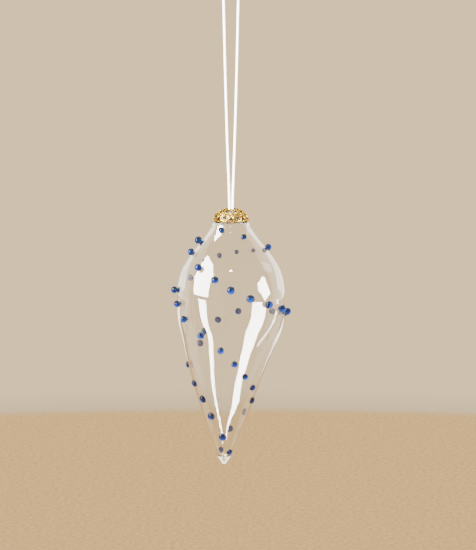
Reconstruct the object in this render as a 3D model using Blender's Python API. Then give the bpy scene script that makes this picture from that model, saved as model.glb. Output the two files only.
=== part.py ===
"""Hanging icicle ornament: a blown glass drop with glass dots, a filigree cap and a cord loop.

Metres, +Z up. The origin is where a hook bears on the inside of the loop's top,
and everything hangs below it on the Z axis. +X is to the right of the front view
and -Y is the front.
"""
import math

import bmesh
import bpy
import numpy as np
from mathutils import Matrix, Vector

MM = 0.001
GAP = 0.3 * MM

# Cord: one length doubled into a loop.
CORD_DIAMETER = 1.3 * MM
LOOP_HEIGHT = 118.0 * MM

# Cap: a stamped filigree bead cap with one petal for each opening.
CAP_RADIUS = 9.0 * MM
CAP_HEIGHT = 6.4 * MM
CAP_WALL = 0.7 * MM
CAP_FULLNESS = 2.2
CORD_HOLE_RADIUS = 1.8 * MM
PETALS = 8
CAP_SEGMENTS = 48

# Glass: one blown wall that thickens toward its solid drawn tip, open at its neck.
GLASS_WALL = 1.4 * MM
GLASS_SEGMENTS = 32
BORE_RADIUS = 4.0 * MM
NECK_HEIGHT = 3.2 * MM
THICKENING_START = 95.0 * MM
THICKENING_RUN = 23.0 * MM
CAVITY_LENGTH = 120.2 * MM
GLASS_LENGTH = 124.2 * MM

# Heights of the shared places, measured down from the hook.
CORD_HOLE_Z = -LOOP_HEIGHT
RIM_Z = CORD_HOLE_Z - CAP_HEIGHT

# Outer radius of the glass at depths below the cap's rim, in millimetres.
GLASS_OUTLINE = (
    (-3.2, 5.5), (-1.8, 6.2), (-0.6, 7.4), (0.8, 8.65), (2.3, 9.45), (5.0, 10.8), (10.0, 14.2),
    (15.0, 18.4), (20.0, 21.9), (25.0, 24.7), (32.0, 26.5), (40.0, 27.0), (50.0, 26.4),
    (60.0, 23.75), (70.0, 20.6), (85.0, 15.85), (100.0, 11.0), (110.0, 7.3), (122.0, 2.6),
)
# How far the drawn tip leans toward -X, in millimetres.
TIP_LEAN = ((50.0, 0.0), (58.0, 0.1), (66.0, 1.0), (80.0, 2.2), (100.0, 2.8), (124.2, 3.6))

# Two trails of dots wind down the glass. Each key is (dot number, angle in degrees
# counted from the front toward +X, depth below the rim in millimetres), and the dots
# between two keys follow a smooth curve through them.
DOT_TRAILS = (
    ((0, -24, 4.0), (1, 29, 7.2), (2, 84, 14.0), (4, 146, 17.8), (6, 195, 21.5), (7, 213, 24.2),
     (8, 232, 31.7), (9, 271, 35.0), (11, 304, 47.0), (13, 349, 61.2), (15, 388, 76.0),
     (16, 412, 82.8), (17, 426, 90.2), (18, 478, 98.6), (19, 521, 107.6), (20, 568, 117.6)),
    ((0, -150, 6.0), (1, -92, 11.0), (2, -78, 16.0), (3, -42, 21.6), (4, -17, 26.4), (5, 0, 31.0),
     (8, 63, 42.3), (10, 106, 47.8), (13, 172, 50.2), (15, 214, 59.5), (16, 223, 65.0),
     (17, 260, 73.6), (18, 292, 81.3), (20, 323, 97.5), (21, 351, 108.6), (22, 395, 117.2)),
)
# Half-width of the dots of each trail at depths below the rim, in millimetres.
DOT_RADIUS = (
    ((0.0, 1.45), (7.0, 1.4), (13.0, 1.75), (18.0, 1.25), (24.0, 1.5), (35.0, 1.75), (60.0, 1.75),
     (76.0, 1.5), (90.0, 1.7), (118.0, 1.45)),
    ((0.0, 1.4), (11.0, 1.95), (16.0, 1.75), (26.0, 1.85), (33.0, 2.1), (42.0, 1.85), (60.0, 1.75),
     (80.0, 1.8), (105.0, 1.9), (118.0, 1.45)),
)
# Height of a dot's half over its half-width, and how far its middle stands off the
# glass as a share of that height: nearly whole balls above, low domes below.
DOT_FULLNESS = ((45.0, 1.0), (62.0, 0.9), (80.0, 0.65), (118.0, 0.6))
DOT_SEAT = ((45.0, 0.85), (62.0, 0.7), (80.0, 0.45), (118.0, 0.45))

# Half of the loop from the cap up, as (distance from the Z axis, height above the cord
# hole) in millimetres; the other half mirrors it.
LOOP_HALF = (
    (0.80, -1.0), (0.80, 1.0), (0.90, 6.0), (1.15, 14.0), (1.65, 27.0), (2.30, 48.0),
    (2.95, 73.0), (3.45, 96.0), (3.70, 108.0), (3.72, 113.5), (3.05, 116.9), (1.65, 118.4),
)
LOOP_CROWN = (0.0, 118.65)


def clear_scene():
    for item in list(bpy.data.objects):
        bpy.data.objects.remove(item, do_unlink=True)


def material(name, colour, roughness, metallic=0.0, transmission=0.0):
    made = bpy.data.materials.new(name)
    made.use_nodes = True
    shader = made.node_tree.nodes["Principled BSDF"]
    shader.inputs["Base Color"].default_value = (*colour, 1.0)
    shader.inputs["Roughness"].default_value = roughness
    shader.inputs["Metallic"].default_value = metallic
    shader.inputs["Transmission Weight"].default_value = transmission
    made.diffuse_color = (*colour, 1.0)
    return made


def smooth_curve(keys, at):
    """Value at `at` of a smooth curve through (place, value) keys, held beyond the ends."""
    places = np.array([key[0] for key in keys], dtype=float)
    values = np.array([key[1] for key in keys], dtype=float)
    slopes = np.gradient(values, places)
    at = min(max(at, places[0]), places[-1])
    i = min(int(np.searchsorted(places, at, side="right")) - 1, len(places) - 2)
    step = places[i + 1] - places[i]
    t = (at - places[i]) / step
    start = (2 * t ** 3 - 3 * t ** 2 + 1) * values[i] + (t ** 3 - 2 * t ** 2 + t) * step * slopes[i]
    end = (3 * t ** 2 - 2 * t ** 3) * values[i + 1] + (t ** 3 - t ** 2) * step * slopes[i + 1]
    return float(start + end)


def glass_radius(depth):
    return smooth_curve(GLASS_OUTLINE, depth / MM) * MM


def glass_centre(depth):
    return Vector((-smooth_curve(TIP_LEAN, depth / MM) * MM, 0.0, RIM_Z - depth))


def add_object(name, mesh, surface, parent, location=(0.0, 0.0, 0.0)):
    made = bpy.data.objects.new(name, mesh)
    bpy.context.scene.collection.objects.link(made)
    made.data.materials.append(surface)
    made.parent = parent
    made.location = Vector(location) - (parent.matrix_world.translation if parent else Vector())
    bpy.context.view_layer.update()
    return made


def finish_mesh(name, shape, sharp_angle=40.0):
    bmesh.ops.recalc_face_normals(shape, faces=shape.faces)
    mesh = bpy.data.meshes.new(name)
    shape.to_mesh(mesh)
    shape.free()
    mesh.shade_smooth()
    mesh.set_sharp_from_angle(angle=math.radians(sharp_angle))
    return mesh


def ring(shape, centre, radius, segments):
    return [
        shape.verts.new((
            centre[0] + radius * math.cos(2 * math.pi * k / segments),
            centre[1] + radius * math.sin(2 * math.pi * k / segments),
            centre[2],
        ))
        for k in range(segments)
    ]


def skin_rings(shape, rings):
    for lower, upper in zip(rings, rings[1:]):
        count = len(lower)
        for k in range(count):
            after = (k + 1) % count
            shape.faces.new((lower[k], lower[after], upper[after], upper[k]))


def cap_end(shape, last_ring, centre):
    tip = shape.verts.new(centre)
    count = len(last_ring)
    for k in range(count):
        shape.faces.new((last_ring[k], last_ring[(k + 1) % count], tip))


def closed_turning(name, profile, segments):
    """A ring-shaped solid from a closed (radius, height) profile turned about the Z axis."""
    shape = bmesh.new()
    rings = [ring(shape, (0.0, 0.0, height), radius, segments) for radius, height in profile]
    skin_rings(shape, rings + rings[:1])
    return finish_mesh(name, shape)


def cavity_radius(depth):
    """Radius of the hollow, one wall thickness in from the outside."""
    step = 0.5 * MM
    slope = (glass_radius(depth + step) - glass_radius(depth - step)) / (2 * step)
    thickening = 1.0 + (max(depth - THICKENING_START, 0.0) / THICKENING_RUN) ** 2
    return glass_radius(depth) - GLASS_WALL * thickening * math.hypot(1.0, slope)


def make_glass(parent, surface):
    neck_depths = [-NECK_HEIGHT, -1.8 * MM, -0.6 * MM]
    depths = list(np.linspace(1.0, 55.0, 16) * MM) + list(np.linspace(60.0, 118.0, 12) * MM)
    shape = bmesh.new()
    outer = [
        ring(shape, glass_centre(depth), glass_radius(depth), GLASS_SEGMENTS)
        for depth in neck_depths + depths + [122.0 * MM]
    ]
    outer.append(ring(shape, glass_centre(123.6 * MM), 1.5 * MM, GLASS_SEGMENTS))
    cap_end(shape, outer[-1], glass_centre(GLASS_LENGTH))
    bore = [ring(shape, glass_centre(-NECK_HEIGHT), BORE_RADIUS, GLASS_SEGMENTS)]
    bore.append(ring(shape, glass_centre(-0.8 * MM), BORE_RADIUS + 0.6 * MM, GLASS_SEGMENTS))
    bore += [ring(shape, glass_centre(depth), cavity_radius(depth), GLASS_SEGMENTS) for depth in depths]
    cap_end(shape, bore[-1], glass_centre(CAVITY_LENGTH))
    skin_rings(shape, outer[::-1] + bore)
    mesh = finish_mesh("glass_body", shape)
    mesh.transform(Matrix.Translation((0.0, 0.0, -CORD_HOLE_Z)))
    return add_object("glass_body", mesh, surface, parent, (0.0, 0.0, CORD_HOLE_Z))


def dot_mesh(name, radius, height, base):
    """A bead of melted glass with a flat seat, standing on its +Z axis."""
    shape = bmesh.new()
    bmesh.ops.create_uvsphere(shape, u_segments=10, v_segments=6, radius=radius)
    bmesh.ops.scale(shape, vec=(1.0, 1.0, height / radius), verts=shape.verts)
    cut = bmesh.ops.bisect_plane(
        shape, geom=shape.verts[:] + shape.edges[:] + shape.faces[:],
        plane_co=(0.0, 0.0, -base), plane_no=(0.0, 0.0, -1.0), clear_outer=True,
    )
    rim = [item for item in cut["geom_cut"] if isinstance(item, bmesh.types.BMEdge)]
    bmesh.ops.holes_fill(shape, edges=rim, sides=0)
    return finish_mesh(name, shape)


def make_dot(name, angle, depth, radius, parent, surface):
    direction = Vector((math.sin(angle), -math.cos(angle), 0.0))
    step = 0.5 * MM
    above = glass_centre(depth - step) + direction * glass_radius(depth - step)
    below = glass_centre(depth + step) + direction * glass_radius(depth + step)
    around = Vector((math.cos(angle), math.sin(angle), 0.0))
    outward = around.cross(above - below).normalized()
    height = radius * smooth_curve(DOT_FULLNESS, depth / MM)
    stand_off = height * smooth_curve(DOT_SEAT, depth / MM)
    mesh = dot_mesh(name, radius, height, stand_off - GAP)
    dot = add_object(name, mesh, surface, parent, (above + below) / 2 + outward * stand_off)
    dot.rotation_euler = outward.to_track_quat("Z", "Y").to_euler()
    return dot


def make_dots(parent, surface):
    for trail, keys, radii in zip("ab", DOT_TRAILS, DOT_RADIUS):
        angle_keys = [(number, angle) for number, angle, depth in keys]
        depth_keys = [(number, depth) for number, angle, depth in keys]
        for number in range(keys[-1][0] + 1):
            angle = math.radians(smooth_curve(angle_keys, number))
            depth = smooth_curve(depth_keys, number)
            radius = smooth_curve(radii, depth) * MM
            make_dot(f"blue_dot_{trail}{number + 1:02d}", angle, depth * MM, radius, parent, surface)


def cap_radius(height):
    """Outer radius of the cap's dome at a height above its rim."""
    return CAP_RADIUS * math.sqrt(1.0 - (height / CAP_HEIGHT) ** CAP_FULLNESS)


def cap_height(radius):
    """Height above its rim of the cap's dome at a radius."""
    return CAP_HEIGHT * (1.0 - (radius / CAP_RADIUS) ** 2) ** (1.0 / CAP_FULLNESS)


def cap_cutters():
    """Petal openings, the small openings of the upper tier, and the scallops of the rim."""
    shape = bmesh.new()
    pitch = 2 * math.pi / PETALS
    for k in range(PETALS):
        petal = Matrix.Rotation((k + 0.5) * pitch, 4, "Z")
        spacer = Matrix.Rotation(k * pitch, 4, "Z")
        lean = Matrix.Rotation(math.radians(68.0), 4, "Y")
        openings = (
            (petal @ Matrix.Translation((8.2 * MM, 0.0, 2.9 * MM)) @ lean, 1.35 * MM, 1.15, 14),
            (spacer @ Matrix.Translation((4.4 * MM, 0.0, 5.2 * MM)), 0.75 * MM, 1.0, 10),
            (spacer @ Matrix.Translation((8.6 * MM, 0.0, 0.0)) @ lean, 0.8 * MM, 1.0, 10),
        )
        for place, radius, squash, sides in openings:
            made = bmesh.ops.create_cone(
                shape, cap_ends=True, segments=sides, radius1=radius, radius2=radius,
                depth=6.0 * MM,
            )
            bmesh.ops.scale(shape, vec=(1.0, squash, 1.0), verts=made["verts"])
            bmesh.ops.transform(shape, matrix=place, verts=made["verts"])
    cutters = add_object("cap_cutters", finish_mesh("cap_cutters", shape), bpy.data.materials[0], None)
    cutters.location = (0.0, 0.0, RIM_Z)
    cutters.hide_render = True
    cutters.display_type = "WIRE"
    return cutters


def make_cap(parent, surface):
    radii = [CAP_RADIUS * share for share in (1.0, 0.98, 0.93, 0.85, 0.73, 0.58, 0.42, 0.3)]
    outer = [(radius, cap_height(radius)) for radius in radii]
    outer.append((CORD_HOLE_RADIUS, cap_height(CORD_HOLE_RADIUS)))
    inner = []
    for before, here, after in zip(outer, outer[1:], outer[2:]):
        along = Vector((after[0] - before[0], after[1] - before[1])).normalized()
        inner.append((here[0] - CAP_WALL * along.y, here[1] + CAP_WALL * along.x))
    inner.insert(0, (CAP_RADIUS - CAP_WALL, 0.0))
    inner.append((CORD_HOLE_RADIUS, outer[-1][1] - CAP_WALL))
    mesh = closed_turning("filigree_cap", outer + inner[::-1], CAP_SEGMENTS)
    mesh.transform(Matrix.Translation((0.0, 0.0, -CAP_HEIGHT)))
    cap = add_object("filigree_cap", mesh, surface, parent, (0.0, 0.0, CORD_HOLE_Z))
    cut = cap.modifiers.new("openings", "BOOLEAN")
    cut.object = cap_cutters()
    cut.operation = "DIFFERENCE"
    cut.solver = "EXACT"
    return cap


def make_adhesive(parent, surface):
    """The bead of clear adhesive between the glass neck and the cap."""
    heights = (1.1 * MM, 1.8 * MM, 2.7 * MM)
    outer = [(cap_radius(height) - CAP_WALL - GAP, height) for height in heights]
    inner = [(glass_radius(-height) + 1.5 * GAP, height) for height in heights]
    mesh = closed_turning("cap_adhesive", outer + inner[::-1], CAP_SEGMENTS)
    mesh.transform(Matrix.Translation((0.0, 0.0, -CAP_HEIGHT)))
    return add_object("cap_adhesive", mesh, surface, parent, (0.0, 0.0, CORD_HOLE_Z))


def make_knot(parent, surface):
    """The stopper knot that holds the cap, just under the cord hole."""
    half_height = 1.6 * MM
    top = CORD_HOLE_Z - 1.6 * MM
    shape = bmesh.new()
    bmesh.ops.create_uvsphere(shape, u_segments=16, v_segments=10, radius=1.0)
    bmesh.ops.scale(shape, vec=(2.5 * MM, 2.2 * MM, half_height), verts=shape.verts)
    bmesh.ops.translate(shape, vec=(0.0, 0.0, top - half_height - CORD_HOLE_Z), verts=shape.verts)
    mesh = finish_mesh("cord_knot", shape)
    return add_object("cord_knot", mesh, surface, parent, (0.0, 0.0, CORD_HOLE_Z))


def loop_route():
    """Route of the loop, from one end above the knot over the top to the other."""
    left = [(-away, 0.0, height) for away, height in LOOP_HALF]
    right = [(away, 0.0, height) for away, height in LOOP_HALF[::-1]]
    crown = [(LOOP_CROWN[0], 0.0, LOOP_CROWN[1])]
    return [Vector(point) * MM for point in left + crown + right]


def loop_points():
    """Points along the loop's smooth route, two or three cord diameters apart."""
    route = loop_route()
    lengths = [(after - before).length for before, after in zip(route, route[1:])]
    along = [sum(lengths[:i]) for i in range(len(route))]
    sideways = [(at, point.x) for at, point in zip(along, route)]
    upward = [(at, point.z) for at, point in zip(along, route)]
    points = []
    for start, length in zip(along, lengths):
        steps = max(2, round(length / (3 * CORD_DIAMETER)))
        points += [start + length * step / steps for step in range(steps)]
    points.append(along[-1])
    return [(smooth_curve(sideways, at), 0.0, smooth_curve(upward, at)) for at in points]


def make_loop(surface):
    points = loop_points()
    curve = bpy.data.curves.new("cord_loop", "CURVE")
    curve.dimensions = "3D"
    curve.bevel_depth = CORD_DIAMETER / 2
    curve.bevel_resolution = 2
    curve.use_fill_caps = True
    spline = curve.splines.new("POLY")
    spline.points.add(len(points) - 1)
    for point, place in zip(spline.points, points):
        point.co = (*place, 1.0)
    return add_object("cord_loop", curve, surface, None, (0.0, 0.0, CORD_HOLE_Z))


def make_pivot(name, parent):
    pivot = bpy.data.objects.new(name, None)
    bpy.context.scene.collection.objects.link(pivot)
    pivot.empty_display_size = 5 * MM
    pivot.location = (0.0, 0.0, CORD_HOLE_Z)
    if parent:
        pivot.parent = parent
        pivot.location = (0.0, 0.0, 0.0)
    bpy.context.view_layer.update()
    return pivot


def main():
    clear_scene()
    clear_glass = material("clear_glass", (0.93, 0.95, 0.95), 0.03, transmission=1.0)
    blue_glass = material("blue_glass", (0.02, 0.10, 0.60), 0.05, transmission=0.6)
    gold = material("gold_metal", (0.83, 0.58, 0.20), 0.28, metallic=1.0)
    cord = material("white_cord", (0.86, 0.84, 0.80), 0.85)
    glue = material("clear_adhesive", (0.80, 0.76, 0.74), 0.25)
    swing = make_pivot("swing_pivot", None)
    spin = make_pivot("spin_pivot", swing)
    make_loop(cord)
    make_knot(swing, cord)
    make_cap(spin, gold)
    make_adhesive(spin, glue)
    make_glass(spin, clear_glass)
    make_dots(spin, blue_glass)


main()
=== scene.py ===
"""Looks of the icicle hanging ornament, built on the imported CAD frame. Metres, +Z up."""
import math
import random

import bmesh
import bpy
import numpy as np
from mathutils import Matrix, Vector
from mathutils.bvhtree import BVHTree


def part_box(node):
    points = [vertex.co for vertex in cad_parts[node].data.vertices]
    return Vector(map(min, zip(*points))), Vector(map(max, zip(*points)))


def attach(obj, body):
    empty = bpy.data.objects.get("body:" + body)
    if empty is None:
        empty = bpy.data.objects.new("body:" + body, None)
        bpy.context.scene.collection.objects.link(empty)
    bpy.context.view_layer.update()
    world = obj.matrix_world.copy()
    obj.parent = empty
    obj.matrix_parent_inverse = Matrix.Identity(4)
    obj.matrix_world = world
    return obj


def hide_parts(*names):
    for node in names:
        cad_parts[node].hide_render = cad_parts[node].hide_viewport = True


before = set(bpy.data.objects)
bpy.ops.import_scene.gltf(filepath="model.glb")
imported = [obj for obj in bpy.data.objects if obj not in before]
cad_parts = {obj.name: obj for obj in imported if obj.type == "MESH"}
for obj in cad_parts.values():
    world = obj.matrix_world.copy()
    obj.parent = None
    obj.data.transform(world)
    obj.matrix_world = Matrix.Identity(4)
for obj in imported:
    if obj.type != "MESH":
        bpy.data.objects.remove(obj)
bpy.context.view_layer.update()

MM = 0.001
CORD_HOLE_Z = -118.0 * MM
RIM_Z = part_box("filigree_cap")[0][2]
CAP_RADIUS = 9.0 * MM
CAP_HEIGHT = 6.4 * MM
CAP_FULLNESS = 2.2
PETALS = 8
CORD_DIAMETER = 1.3 * MM
TIP_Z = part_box("glass_body")[0][2]

# Blown wall of the glass at the rim, and how much thinner it is at the end of its hollow.
RIM_WALL = 1.1 * MM
THINNING = 0.3 * MM
HOLLOW_DEPTH = 115.0 * MM
WALL_SLANT = 1.07

# How far the foot of a dot runs into the glass.
DOT_SINK = 0.45 * MM

# Camera: level with the middle of the view, looking slightly down.
CAMERA_TARGET = Vector((3.5 * MM, 0.0, RIM_Z - 27.5 * MM))
CAMERA_DISTANCE = 1.3
CAMERA_TILT = math.radians(9.0)
VIEW_HEIGHT = 0.275

# Half of the loop from the cap up, as (distance from the Z axis, height above the cord
# hole) in millimetres; the other half mirrors it.
LOOP_HALF = (
    (0.80, -1.0), (0.80, 1.0), (0.90, 6.0), (1.15, 14.0), (1.65, 27.0), (2.30, 48.0),
    (2.95, 73.0), (3.45, 96.0), (3.70, 108.0), (3.72, 113.5), (3.05, 116.9), (1.65, 118.4),
)
LOOP_CROWN = (0.0, 118.65)

# The floor lies this far below the camera, and fades into the wall's light between
# two distances from the ornament's axis, with a soft shade on the wall behind its edge.
FLOOR_DROP = 0.64
FLOOR_RADIUS = 1.9
FLOOR_EDGE = (1.712, 1.757)
SHADE_EDGE = (1.73, 1.88)
SHADE_TINT = (0.82, 0.83, 0.86)

# Lights are placed by direction from the middle of the glass.
LIGHT_CENTRE = Vector((0.0, 0.0, RIM_Z - 40.0 * MM))
PANEL_STEPS = 6

# Light of the pale wall all round, and the two tones of the speckled floor.
WALL_LIGHT = (1.25, 0.925, 0.53)
FLOOR_DARK = (0.66, 0.54, 0.34)
FLOOR_LIGHT = (0.97, 0.81, 0.53)

BLUE_DOTS = sorted(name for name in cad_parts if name.startswith("blue_dot"))


# ---------------------------------------------------------------- small tools

def smooth_curve(keys, at):
    """Values at the places `at` of a smooth curve through (place, value) keys."""
    places = np.array([key[0] for key in keys], dtype=float)
    values = np.array([key[1] for key in keys], dtype=float)
    slopes = np.gradient(values, places)
    at = np.clip(np.atleast_1d(np.asarray(at, dtype=float)), places[0], places[-1])
    i = np.clip(np.searchsorted(places, at, side="right") - 1, 0, len(places) - 2)
    step = places[i + 1] - places[i]
    t = (at - places[i]) / step
    start = (2 * t ** 3 - 3 * t ** 2 + 1) * values[i] + (t ** 3 - 2 * t ** 2 + t) * step * slopes[i]
    end = (3 * t ** 2 - 2 * t ** 3) * values[i + 1] + (t ** 3 - t ** 2) * step * slopes[i + 1]
    return start + end


def new_object(name, mesh, surface):
    made = bpy.data.objects.new(name, mesh)
    bpy.context.scene.collection.objects.link(made)
    if surface:
        mesh.materials.append(surface)
    return made


def mesh_from(name, shape, smooth=True):
    bmesh.ops.recalc_face_normals(shape, faces=shape.faces)
    mesh = bpy.data.meshes.new(name)
    shape.to_mesh(mesh)
    shape.free()
    if smooth:
        mesh.shade_smooth()
    return mesh


def skin(shape, rings, closed=False):
    """Quads between neighbouring rings of points; closed joins the last ring to the first."""
    pairs = list(zip(rings, rings[1:]))
    if closed:
        pairs.append((rings[-1], rings[0]))
    for lower, upper in pairs:
        count = len(lower)
        for k in range(count):
            after = (k + 1) % count
            shape.faces.new((lower[k], lower[after], upper[after], upper[k]))


def fan(shape, ring, tip):
    point = shape.verts.new(tip)
    for k in range(len(ring)):
        shape.faces.new((ring[k], ring[(k + 1) % len(ring)], point))


def tube(shape, points, radius, sides=8, closed=False):
    """A round tube along points; radius is a number, or one for each point."""
    points = [Vector(point) for point in points]
    count = len(points)
    radii = [radius] * count if isinstance(radius, float) else list(radius)
    tangents = []
    for i in range(count):
        before = points[i - 1] if closed or i else points[i]
        after = points[(i + 1) % count] if closed or i < count - 1 else points[i]
        tangents.append((after - before).normalized())
    side = tangents[0].orthogonal().normalized()
    rings = []
    for point, tangent, size in zip(points, tangents, radii):
        side = (side - tangent * side.dot(tangent)).normalized()
        up = tangent.cross(side)
        rings.append([
            shape.verts.new(point + size * (side * math.cos(a) + up * math.sin(a)))
            for a in (2 * math.pi * k / sides for k in range(sides))
        ])
    skin(shape, rings, closed)
    if not closed:
        fan(shape, rings[0], points[0])
        fan(shape, rings[-1], points[-1])


# ---------------------------------------------------------------- materials

def principled(name, **values):
    made = bpy.data.materials.new(name)
    made.use_nodes = True
    shader = made.node_tree.nodes["Principled BSDF"]
    for key, value in values.items():
        shader.inputs[key.replace("_", " ")].default_value = value
    return made, made.node_tree, shader


def add_node(tree, kind, **values):
    made = tree.nodes.new(kind)
    for key, value in values.items():
        setattr(made, key, value)
    return made


def noise(tree, scale, detail=3.0, roughness=0.5, distortion=0.0, coords="Object"):
    place = add_node(tree, "ShaderNodeTexCoord")
    made = add_node(tree, "ShaderNodeTexNoise")
    made.inputs["Scale"].default_value = scale
    made.inputs["Detail"].default_value = detail
    made.inputs["Roughness"].default_value = roughness
    made.inputs["Distortion"].default_value = distortion
    tree.links.new(place.outputs[coords], made.inputs["Vector"])
    return made.outputs["Fac"]


def ramp(tree, source, stops):
    made = add_node(tree, "ShaderNodeValToRGB")
    elements = made.color_ramp.elements
    while len(elements) < len(stops):
        elements.new(0.5)
    for element, (place, colour) in zip(elements, stops):
        element.position = place
        element.color = (*colour, 1.0)
    tree.links.new(source, made.inputs["Fac"])
    return made.outputs["Color"]


def spread(tree, source, low, high):
    made = add_node(tree, "ShaderNodeMapRange")
    made.inputs["To Min"].default_value = low
    made.inputs["To Max"].default_value = high
    tree.links.new(source, made.inputs["Value"])
    return made.outputs["Result"]


def bump(tree, shader, source, strength, distance):
    made = add_node(tree, "ShaderNodeBump")
    made.inputs["Strength"].default_value = strength
    made.inputs["Distance"].default_value = distance
    tree.links.new(source, made.inputs["Height"])
    tree.links.new(made.outputs["Normal"], shader.inputs["Normal"])


def clear_glass():
    made, tree, shader = principled("blown_clear_glass", Transmission_Weight=1.0, IOR=1.47, Roughness=0.0)
    tint = ramp(tree, noise(tree, 40.0), ((0.3, (0.955, 0.965, 0.96)), (0.7, (0.985, 0.985, 0.98))))
    tree.links.new(tint, shader.inputs["Base Color"])
    bump(tree, shader, noise(tree, 90.0, 1.0), 0.08, 0.0004)
    return made


def blue_glass():
    made, tree, shader = principled(
        "cobalt_glass", Transmission_Weight=1.0, IOR=1.5, Roughness=0.02, Specular_IOR_Level=0.25)
    tint = ramp(tree, noise(tree, 160.0), ((0.3, (0.003, 0.045, 0.42)), (0.7, (0.005, 0.075, 0.56))))
    tree.links.new(tint, shader.inputs["Base Color"])
    bump(tree, shader, noise(tree, 500.0, 1.0), 0.05, 0.0002)
    return made


def gold():
    made, tree, shader = principled("gold_plate", Metallic=1.0)
    # Painted shade: the gold darkens to near black the further a point lies inward from the dome's
    # surface.
    recess_shade_node = add_node(tree, "ShaderNodeAttribute", attribute_name="recess_shade")
    colour = ramp(tree, recess_shade_node.outputs["Fac"], (
        (0.0, (0.82, 0.59, 0.08)), (0.3, (0.46, 0.30, 0.03)), (1.0, (0.03, 0.017, 0.004)),
    ))
    tree.links.new(colour, shader.inputs["Base Color"])
    tree.links.new(spread(tree, noise(tree, 1500.0, 4.0), 0.14, 0.32), shader.inputs["Roughness"])
    bump(tree, shader, noise(tree, 2200.0, 3.0), 0.25, 0.00008)
    return made


def adhesive():
    made, tree, shader = principled("cured_adhesive", Transmission_Weight=0.55, IOR=1.46)
    tint = ramp(tree, noise(tree, 700.0, 3.0), ((0.3, (0.40, 0.34, 0.33)), (0.7, (0.56, 0.49, 0.47))))
    tree.links.new(tint, shader.inputs["Base Color"])
    tree.links.new(spread(tree, noise(tree, 900.0), 0.12, 0.35), shader.inputs["Roughness"])
    bump(tree, shader, noise(tree, 800.0, 2.0), 0.5, 0.0002)
    return made


def white_cord():
    made, tree, shader = principled("twisted_white_thread", Sheen_Weight=0.25, Subsurface_Weight=0.15)
    shader.inputs["Subsurface Radius"].default_value = (0.0006, 0.0005, 0.0004)
    shader.inputs["Sheen Roughness"].default_value = 0.5
    tint = ramp(tree, noise(tree, 1800.0, 4.0), ((0.3, (0.74, 0.735, 0.72)), (0.7, (0.90, 0.895, 0.88))))
    tree.links.new(tint, shader.inputs["Base Color"])
    tree.links.new(spread(tree, noise(tree, 1200.0), 0.75, 0.95), shader.inputs["Roughness"])
    bump(tree, shader, noise(tree, 5200.0, 3.0), 0.6, 0.00008)
    return made


# ---------------------------------------------------------------- camera

def make_camera():
    data = bpy.data.cameras.new("camera")
    data.sensor_width = 36.0
    data.lens = 36.0 * CAMERA_DISTANCE / VIEW_HEIGHT
    data.clip_start = 0.01
    camera = bpy.data.objects.new("camera", data)
    bpy.context.scene.collection.objects.link(camera)
    look = Vector((0.0, math.cos(CAMERA_TILT), -math.sin(CAMERA_TILT)))
    camera.location = CAMERA_TARGET - look * CAMERA_DISTANCE
    camera.rotation_euler = look.to_track_quat("-Z", "Y").to_euler()
    bpy.context.scene.camera = camera


# ---------------------------------------------------------------- cord

def loop_path(count):
    """Evenly spaced points along the loop's smooth route."""
    left = [(-away, height) for away, height in LOOP_HALF]
    right = [(away, height) for away, height in LOOP_HALF[::-1]]
    route = np.array(left + [LOOP_CROWN] + right) * MM
    lengths = np.hypot(*np.diff(route, axis=0).T)
    along = np.concatenate([[0.0], np.cumsum(lengths)])
    at = np.linspace(0.0, along[-1], count)
    sideways = smooth_curve(list(zip(along, route[:, 0])), at)
    upward = smooth_curve(list(zip(along, route[:, 1])), at) + CORD_HOLE_Z
    return [Vector((x, 0.0, z)) for x, z in zip(sideways, upward)]


def twist_plies(shape, line, diameter, pitch, plies=3, sides=7):
    """Plies laid round one another along a line, filling the cord's diameter."""
    ply_radius = diameter / 2 * 0.58
    lay_radius = diameter / 2 - ply_radius
    spacing = sum((b - a).length for a, b in zip(line, line[1:])) / (len(line) - 1)
    tangents = [
        (line[min(i + 1, len(line) - 1)] - line[max(i - 1, 0)]).normalized() for i in range(len(line))
    ]
    for ply in range(plies):
        points = []
        side = Vector((0.0, 1.0, 0.0))
        for i, (point, tangent) in enumerate(zip(line, tangents)):
            side = (side - tangent * side.dot(tangent)).normalized()
            up = tangent.cross(side)
            turn = 2 * math.pi * (ply / plies + i * spacing / pitch)
            points.append(point + lay_radius * (side * math.cos(turn) + up * math.sin(turn)))
        tube(shape, points, ply_radius, sides)


def make_cord(surface):
    """The thread of the loop, laid from three plies along its route."""
    line = loop_path(760)
    shape = bmesh.new()
    twist_plies(shape, line, CORD_DIAMETER, 3.4 * MM)
    cord = new_object("twisted_cord", mesh_from("twisted_cord", shape), surface)
    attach(cord, "hanging_cord")
    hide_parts("cord_loop")
    return cord


def make_knot(surface):
    """The two ends tied in one overhand knot, with their cut tails hanging in the neck."""
    low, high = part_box("cord_knot")
    centre = (Vector(low) + Vector(high)) / 2
    shape = bmesh.new()
    wide = (high[0] - low[0]) / 2 - 0.62 * MM
    deep = (high[1] - low[1]) / 2 - 0.62 * MM
    tall = (high[2] - low[2]) / 2 - 0.62 * MM
    line = []
    for i in range(150):
        t = 2 * math.pi * i / 150
        radius = (2 + math.cos(3 * t)) / 3
        line.append(centre + Vector((
            wide * radius * math.cos(2 * t), deep * radius * math.sin(2 * t), tall * math.sin(3 * t),
        )))
    twist_plies(shape, line + line[:1], CORD_DIAMETER * 0.95, 3.2 * MM, sides=6)
    for side in (-1, 1):
        start = centre + Vector((side * 0.8 * MM, 0.0, 0.0))
        end = Vector((side * 0.85 * MM, 0.0, low[2] + 0.65 * MM))
        tail = [start.lerp(end, i / 12) for i in range(13)]
        twist_plies(shape, tail, CORD_DIAMETER * 0.95, 3.2 * MM, sides=6)
    knot = new_object("tied_knot", mesh_from("tied_knot", shape), surface)
    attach(knot, "knot")
    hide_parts("cord_knot")


# ---------------------------------------------------------------- glass

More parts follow.
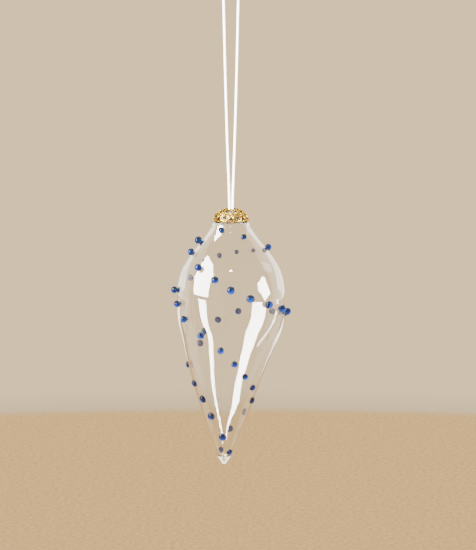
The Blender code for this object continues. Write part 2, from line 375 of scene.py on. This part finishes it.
def glass_rings():
    """Keys by height of the outer radius, the inner radius and the lean of the CAD glass."""
    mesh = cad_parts["glass_body"].data
    levels = {}
    for vertex in mesh.vertices:
        x, y, z = (round(value, 6) for value in vertex.co)
        levels.setdefault(z, set()).add((x, y))
    outer, inner, lean = [], [], []
    for z in sorted(levels):
        points = np.array(sorted(levels[z]))
        if len(points) < 3:
            continue
        middle = (points[:, 0].min() + points[:, 0].max()) / 2
        away = np.hypot(points[:, 0] - middle, points[:, 1])
        if z > RIM_Z and away.max() < 5.0 * MM:
            inner.append((z, away.max()))
            continue
        lean.append((z, middle))
        outer.append((z, away.max()))
        if away.max() - away.min() > 0.5 * MM:
            wall = away.max() - away.min()
            if z < RIM_Z:
                wall = RIM_WALL + THINNING * (z - RIM_Z) / HOLLOW_DEPTH
            inner.append((z, away.max() - WALL_SLANT * wall))
    return outer, inner, lean


def make_glass(surface):
    outer, inner, lean = glass_rings()
    segments = 128
    shape = bmesh.new()

    def ring(z, radius, phase):
        centre = float(smooth_curve(lean, z)[0])
        points = []
        for k in range(segments):
            a = 2 * math.pi * k / segments
            wave = 1.0 + 0.0022 * math.sin(2 * a + 55.0 * z + phase)
            wave += 0.0012 * math.sin(3 * a - 120.0 * z)
            points.append(shape.verts.new((
                centre + radius * wave * math.cos(a), radius * wave * math.sin(a), z,
            )))
        return points

    outer_levels = np.linspace(outer[-1][0] - 0.25 * MM, outer[0][0], 170)
    inner_levels = np.linspace(inner[0][0], inner[-1][0] - 0.25 * MM, 140)
    lip = outer[-1][0]
    rings = [ring(lip, (outer[-1][1] + inner[-1][1]) / 2, 0.0)]
    for z in outer_levels:
        rings.append(ring(float(z), float(smooth_curve(outer, z)[0]), 0.0))
    tip_ring_z, tip_ring_radius = outer[0]
    tip_height = tip_ring_z - TIP_Z
    for turn in (20, 40, 58, 74):
        angle = math.radians(turn)
        level = tip_ring_z - tip_height * math.sin(angle)
        rings.append(ring(level, tip_ring_radius * math.cos(angle), 0.0))
    fan(shape, rings[-1], (float(smooth_curve(lean, TIP_Z)[0]), 0.0, TIP_Z))
    wall = [ring(float(z), float(smooth_curve(inner, z)[0]), 0.7) for z in inner_levels]
    bottom_z, bottom_radius = inner[0]
    below = []
    for turn in (74, 58, 40, 20):
        angle = math.radians(turn)
        below.append(ring(bottom_z - 2.2 * MM * math.sin(angle), bottom_radius * math.cos(angle), 0.7))
    fan(shape, below[0], (float(smooth_curve(lean, bottom_z)[0]), 0.0, bottom_z - 2.2 * MM))
    skin(shape, rings[::-1])
    skin(shape, below + wall + rings[:1])
    glass = new_object("blown_glass_drop", mesh_from("blown_glass_drop", shape), surface)
    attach(glass, "ornament")
    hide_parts("glass_body")
    return glass


def dot_measures(node, wall):
    """Foot on the glass, way out, half-width, height of the middle and of the crown over it."""
    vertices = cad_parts[node].data.vertices
    points = [Vector(at) for at in {vertex.co.to_tuple(7) for vertex in vertices}]
    middle = sum(points, Vector()) / len(points)
    foot = wall.find_nearest(middle)[0]
    outward = (middle - foot).normalized()
    heights = [(point - foot).dot(outward) for point in points]
    widths = [(point - foot - outward * height).length for point, height in zip(points, heights)]
    half_width = max(widths)
    stand_off = heights[widths.index(half_width)]
    return foot, outward, half_width, stand_off, max(heights) - stand_off


def make_dots(glass, surface):
    """Each dot is a drop melted onto the wall: round on top, drawn in at its foot."""
    wall = BVHTree.FromPolygons(
        [vertex.co.copy() for vertex in glass.data.vertices],
        [tuple(face.vertices) for face in glass.data.polygons],
    )
    rng = random.Random(7)
    made = []
    sides, levels = 32, 20
    for node in BLUE_DOTS:
        foot, outward, radius, stand_off, rise = dot_measures(node, wall)
        shape = bmesh.new()
        start = math.pi - math.acos(min((stand_off - 0.12 * MM) / rise, 0.95))
        neck = radius * math.sin(start)
        profile = [
            (radius * math.sin(start * k / levels), stand_off + 0.97 * rise * math.cos(start * k / levels))
            for k in range(1, levels + 1)
        ]
        profile += [(neck * 1.03, 0.05 * MM), (neck * 1.1, -0.05 * MM), (neck * 1.1, -DOT_SINK)]
        rings = [
            [
                shape.verts.new((away * math.cos(a), away * math.sin(a), height))
                for a in (2 * math.pi * k / sides for k in range(sides))
            ]
            for away, height in profile
        ]
        fan(shape, rings[0], (0.0, 0.0, stand_off + 0.97 * rise))
        fan(shape, rings[-1], (0.0, 0.0, -DOT_SINK))
        skin(shape, rings)
        oval = 1.0 + rng.uniform(-0.05, 0.05)
        bmesh.ops.scale(shape, vec=(oval, 1.0 / oval, 1.0), verts=shape.verts)
        mesh = mesh_from(node.replace("blue", "glass"), shape)
        turn = outward.to_track_quat("Z", "Y").to_matrix().to_4x4()
        roll = Matrix.Rotation(rng.uniform(0.0, math.pi), 4, "Z")
        mesh.transform(Matrix.Translation(foot) @ turn @ roll)
        dot = new_object(node.replace("blue", "glass"), mesh, surface)
        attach(dot, "ornament")
        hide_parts(node)
        made.append(dot)
    return made


# ---------------------------------------------------------------- cap

def cap_radius(height):
    return CAP_RADIUS * math.sqrt(max(1.0 - (height / CAP_HEIGHT) ** CAP_FULLNESS, 0.0))


def on_cap(azimuth, height, inset=0.35 * MM):
    radius = cap_radius(height)
    step = 0.02 * MM
    slope = (cap_radius(height + step) - cap_radius(height - step if height > step else 0.0)) / (2 * step)
    length = math.hypot(1.0, slope)
    radius -= inset / length
    height += inset * slope / length
    return Vector((radius * math.cos(azimuth), radius * math.sin(azimuth), RIM_Z + height))


def ring_on_cap(height, count=96, inset=0.35 * MM):
    return [on_cap(2 * math.pi * k / count, height, inset) for k in range(count)]


def oval_on_cap(azimuth, height, half_width, half_height, count=28, pear=0.0):
    """A closed oval lying on the dome; pear narrows its upper end."""
    points = []
    for k in range(count):
        t = 2 * math.pi * k / count
        up = height + half_height * math.cos(t)
        across = half_width * math.sin(t) * (1.0 - pear * math.cos(t))
        points.append(on_cap(azimuth + across / cap_radius(height), up))
    return points


def ball(shape, centre, radius):
    made = bmesh.ops.create_icosphere(shape, subdivisions=3, radius=radius)
    bmesh.ops.translate(shape, vec=centre, verts=made["verts"])


def make_cap(surface):
    shape = bmesh.new()
    wire = 0.34 * MM
    pitch = 2 * math.pi / PETALS
    tube(shape, ring_on_cap(0.45 * MM), wire * 0.85, 10, closed=True)
    tube(shape, ring_on_cap(4.35 * MM, inset=0.3 * MM), wire * 0.8, 10, closed=True)
    tube(shape, ring_on_cap(6.12 * MM, inset=0.3 * MM), wire * 0.9, 10, closed=True)
    for k in range(PETALS):
        petal = (k + 0.5) * pitch
        spacer = k * pitch
        frame_oval = oval_on_cap(petal, 2.55 * MM, 2.15 * MM, 1.9 * MM, pear=0.12)
        tube(shape, frame_oval, wire * 1.15, 10, closed=True)
        tube(shape, oval_on_cap(petal, 2.65 * MM, 1.35 * MM, 1.15 * MM), wire * 0.6, 8, closed=True)
        tube(shape, oval_on_cap(spacer, 5.25 * MM, 0.85 * MM, 0.55 * MM), wire * 0.85, 8, closed=True)
        for side in (-1, 1):
            leg = [
                on_cap(spacer + side * (0.35 + 1.75 * t ** 1.3) * MM / CAP_RADIUS, (3.9 - 3.6 * t) * MM)
                for t in (i / 10 for i in range(11))
            ]
            tube(shape, leg, wire * 0.8, 8)
        ball(shape, on_cap(spacer, 4.0 * MM, 0.1 * MM), 0.5 * MM)
        ball(shape, on_cap(spacer, 0.55 * MM, 0.2 * MM), 0.55 * MM)
        ball(shape, on_cap(petal, 4.55 * MM, 0.15 * MM), 0.42 * MM)
    rough = new_object("filigree_wires", mesh_from("filigree_wires", shape), None)
    remesh = rough.modifiers.new("fuse", "REMESH")
    remesh.mode = "VOXEL"
    remesh.voxel_size = 0.11 * MM
    smooth = rough.modifiers.new("smooth", "SMOOTH")
    smooth.factor = 0.5
    smooth.iterations = 3
    graph = bpy.context.evaluated_depsgraph_get()
    mesh = bpy.data.meshes.new_from_object(rough.evaluated_get(graph))
    bpy.data.objects.remove(rough, do_unlink=True)
    mesh.name = "gold_filigree"
    mesh.shade_smooth()
    # Painted shade for the gold: how far each point lies inward from the dome's surface, 0 on it and 1 at
    # 0.75 mm in.
    recess_shade = mesh.attributes.new("recess_shade", "FLOAT", "POINT")
    values = []
    for vertex in mesh.vertices:
        height = min(max(vertex.co.z - RIM_Z, 0.0), CAP_HEIGHT * 0.985)
        away = cap_radius(height) - math.hypot(vertex.co.x, vertex.co.y)
        slope = (cap_radius(height + 0.01 * MM) - cap_radius(max(height - 0.01 * MM, 0.0))) / (0.02 * MM)
        values.append(min(max(away / math.hypot(1.0, slope) / (0.75 * MM), 0.0), 1.0))
    recess_shade.data.foreach_set("value", values)
    cap = new_object("gold_filigree", mesh, surface)
    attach(cap, "ornament")
    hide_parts("filigree_cap")
    return cap


def make_adhesive(surface):
    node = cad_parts["cap_adhesive"]
    node.data.materials.clear()
    node.data.materials.append(surface)


# ---------------------------------------------------------------- studio

def toward(azimuth, elevation):
    """Direction from the ornament; azimuth is counted from the front toward +X, in degrees."""
    around, up = math.radians(azimuth), math.radians(elevation)
    return Vector((math.sin(around) * math.cos(up), -math.cos(around) * math.cos(up), math.sin(up)))


def softbox(name, azimuth, elevation, distance, size, power, only):
    """A rectangular light facing the glass that lights only the pieces in `only`."""
    data = bpy.data.lights.new(name, "AREA")
    data.shape = "RECTANGLE"
    data.size, data.size_y = size
    data.energy = power
    light = bpy.data.objects.new(name, data)
    bpy.context.scene.collection.objects.link(light)
    away = toward(azimuth, elevation)
    light.location = LIGHT_CENTRE + away * distance
    light.rotation_euler = away.to_track_quat("Z", "Y").to_euler()
    light.visible_camera = False
    light.light_linking.receiver_collection = only


def glow(name, colour, strength):
    """Light added in front of whatever is behind, so a panel brightens without hiding."""
    made = bpy.data.materials.new(name)
    made.use_nodes = True
    tree = made.node_tree
    tree.nodes.remove(tree.nodes["Principled BSDF"])
    emission = add_node(tree, "ShaderNodeEmission")
    emission.inputs["Color"].default_value = (*colour, 1.0)
    emission.inputs["Strength"].default_value = strength
    clear = add_node(tree, "ShaderNodeBsdfTransparent")
    both = add_node(tree, "ShaderNodeAddShader")
    tree.links.new(emission.outputs["Emission"], both.inputs[0])
    tree.links.new(clear.outputs["BSDF"], both.inputs[1])
    tree.links.new(both.outputs["Shader"], tree.nodes["Material Output"].inputs["Surface"])
    return made


def panel(name, rows, surface, only, through=False, distance=0.45):
    """A lit pane seen only by the pieces in `only`, skinned between rows of directions.

    Each row is a pair of (azimuth, elevation) ends, as seen from the glass.
    """
    steps = PANEL_STEPS
    places = np.arange(len(rows))
    ends = [[[row[end][n] for row in rows] for n in (0, 1)] for end in (0, 1)]
    shape = bmesh.new()
    grid = []
    for at in np.linspace(0, len(rows) - 1, steps * (len(rows) - 1) + 1):
        left, right = ([np.interp(at, places, ends[end][n]) for n in (0, 1)] for end in (0, 1))
        grid.append([
            shape.verts.new(LIGHT_CENTRE + distance * toward(
                left[0] + (right[0] - left[0]) * j / steps,
                left[1] + (right[1] - left[1]) * j / steps,
            ))
            for j in range(steps + 1)
        ])
    for low, high in zip(grid, grid[1:]):
        for k in range(steps):
            shape.faces.new((low[k], low[k + 1], high[k + 1], high[k]))
    pane = new_object(name, mesh_from(name, shape, smooth=False), surface)
    pane.visible_camera = False
    pane.visible_diffuse = False
    pane.visible_transmission = through
    pane.visible_shadow = False
    pane.light_linking.receiver_collection = only


def eased(tree, source, span):
    """The source eased from 0 to 1 over a span of its values."""
    made = add_node(tree, "ShaderNodeMapRange", interpolation_type="SMOOTHSTEP")
    made.inputs["From Min"].default_value, made.inputs["From Max"].default_value = span
    tree.links.new(source, made.inputs["Value"])
    return made.outputs["Result"]


def make_floor():
    floor_z = CAMERA_TARGET.z + CAMERA_DISTANCE * math.sin(CAMERA_TILT) - FLOOR_DROP
    shape = bmesh.new()
    bmesh.ops.create_circle(shape, cap_ends=True, segments=128, radius=FLOOR_RADIUS)
    mesh = mesh_from("floor", shape, smooth=False)
    made, tree, shader = principled("kraft_floor", Roughness=0.9)
    tint = ramp(tree, noise(tree, 230.0, 3.0), ((0.3, FLOOR_DARK), (0.7, FLOOR_LIGHT)))
    tree.links.new(tint, shader.inputs["Base Color"])
    place = add_node(tree, "ShaderNodeTexCoord")
    away = add_node(tree, "ShaderNodeVectorMath", operation="LENGTH")
    tree.links.new(place.outputs["Object"], away.inputs[0])
    clear = add_node(tree, "ShaderNodeBsdfTransparent")
    shade = eased(tree, away.outputs["Value"], SHADE_EDGE)
    tint = ramp(tree, shade, ((0.0, SHADE_TINT), (1.0, (1.0, 1.0, 1.0))))
    tree.links.new(tint, clear.inputs["Color"])
    mix = add_node(tree, "ShaderNodeMixShader")
    tree.links.new(eased(tree, away.outputs["Value"], FLOOR_EDGE), mix.inputs["Fac"])
    tree.links.new(shader.outputs["BSDF"], mix.inputs[1])
    tree.links.new(clear.outputs["BSDF"], mix.inputs[2])
    tree.links.new(mix.outputs["Shader"], tree.nodes["Material Output"].inputs["Surface"])
    floor = new_object("floor", mesh, made)
    floor.location = (0.0, 0.0, floor_z)


def collect(name, pieces):
    made = bpy.data.collections.new(name)
    for piece in pieces:
        made.objects.link(piece)
    return made


def make_flag():
    """A dark disc behind the camera, seen only in reflections."""
    shape = bmesh.new()
    bmesh.ops.create_circle(shape, cap_ends=True, segments=48, radius=0.8)
    made, tree, shader = principled("dark_flag", Roughness=0.9)
    shade = ramp(tree, noise(tree, 3.0), ((0.3, (0.012, 0.012, 0.012)), (0.7, (0.02, 0.02, 0.02))))
    tree.links.new(shade, shader.inputs["Base Color"])
    flag = new_object("dark_flag", mesh_from("dark_flag", shape, smooth=False), made)
    away = toward(0.0, 9.0)
    flag.location = LIGHT_CENTRE + away * 1.75
    flag.rotation_euler = away.to_track_quat("Z", "Y").to_euler()
    for kind in ("camera", "diffuse", "transmission", "shadow", "volume_scatter"):
        setattr(flag, "visible_" + kind, False)


def make_studio(drop, dots, cord, cap):
    world = bpy.data.worlds.new("studio")
    bpy.context.scene.world = world
    world.use_nodes = True
    background = world.node_tree.nodes["Background"]
    background.inputs["Color"].default_value = (*WALL_LIGHT, 1.0)
    background.inputs["Strength"].default_value = 1.0
    make_floor()

    clear = collect("clear_pieces", [drop])
    blue = collect("blue_pieces", dots)
    bright = collect("gold_pieces", [cap])
    thread = collect("thread", [cord])
    window = glow("window_light", (1.0, 0.99, 0.97), 150.0)
    strip = glow("strip_light", (1.0, 0.99, 0.97), 50.0)
    edge = glow("edge_light", (1.0, 0.98, 0.95), 7.0)
    haze = glow("haze_light", (1.0, 0.97, 0.93), 1.7)
    back = glow("back_light", (0.95, 0.98, 1.0), 3.0)
    pale = glow("pale_light", (0.95, 0.98, 1.0), 18.0)
    lamp = glow("lamp_light", (1.0, 0.90, 0.70), 260.0)
    for name, rows, surface in (
        ("left_window", (((-85, 0), (-49, -1)), ((-96, 27), (-45, 38)), ((-97, 47), (-60, 50))), window),
        ("right_window", (
            ((74, -5), (76, -5)), ((60, 7), (92, -1)), ((60, 14), (85, 10)), ((80, 27), (84, 27)),
        ), window),
        ("right_sliver", (((103, 38), (98, 31)), ((124, 25), (118, 19))), edge),
        ("left_strip", (
            ((-72, -4), (-54, -4)), ((-59, -30), (-49, -30)), ((-56, -43), (-45, -45)),
            ((-41, -52), (-35, -51)), ((-28, -58), (-22, -58)),
        ), window),
        ("right_strip", (
            ((46, -6), (80, -6)), ((35, -31), (68, -30)), ((34, -48), (64, -46)), ((22, -53), (40, -52)),
            ((14, -55), (28, -55)), ((4, -59), (14, -59)),
        ), window),
        ("left_line", (((-110, -6), (-107, -6)), ((-99, -28), (-97, -28))), edge),
        ("right_line", (((113, -7), (119, -7)), ((88, -32), (92, -33)), ((76, -41), (80, -42))), strip),
        ("right_rim", (((158, -13), (172, -13)), ((136, -26), (146, -28))), edge),
        ("left_rim", (((-170, -17), (-142, -14)), ((-170, -12), (-142, -8))), edge),
        ("lamp_spot", (((-4, 49.8), (4, 49.8)), ((-4, 52), (4, 52))), lamp),
    ):
        panel(name, rows, surface, clear)
    panel("left_haze", (((-170, -8), (-100, -8)), ((-170, 42), (-100, 42))), haze, clear, through=True)
    panel("right_haze", (((100, -8), (170, -8)), ((100, 42), (170, 42))), haze, clear, through=True)
    panel("back_glow", (((150, 18), (210, 18)), ((150, 60), (210, 60))), back, clear, through=True)
    panel("dot_window", (((-84, -1), (-44, -2)), ((-84, 45), (-44, 45))), pale, blue)

    softbox("thread_light", -20.0, 25.0, 1.2, (0.5, 0.6), 230.0, thread)
    softbox("thread_back_light", 160.0, 25.0, 1.2, (0.5, 0.6), 110.0, thread)
    softbox("key", -48.0, 48.0, 1.2, (0.22, 0.3), 55.0, bright)
    softbox("fill", 60.0, 20.0, 1.3, (0.2, 0.3), 32.0, bright)
    make_flag()


# ---------------------------------------------------------------- the whole

make_camera()
cord_surface = white_cord()
cord = make_cord(cord_surface)
make_knot(cord_surface)
drop = make_glass(clear_glass())
dots = make_dots(drop, blue_glass())
cap = make_cap(gold())
make_adhesive(adhesive())
make_studio(drop, dots, cord, cap)
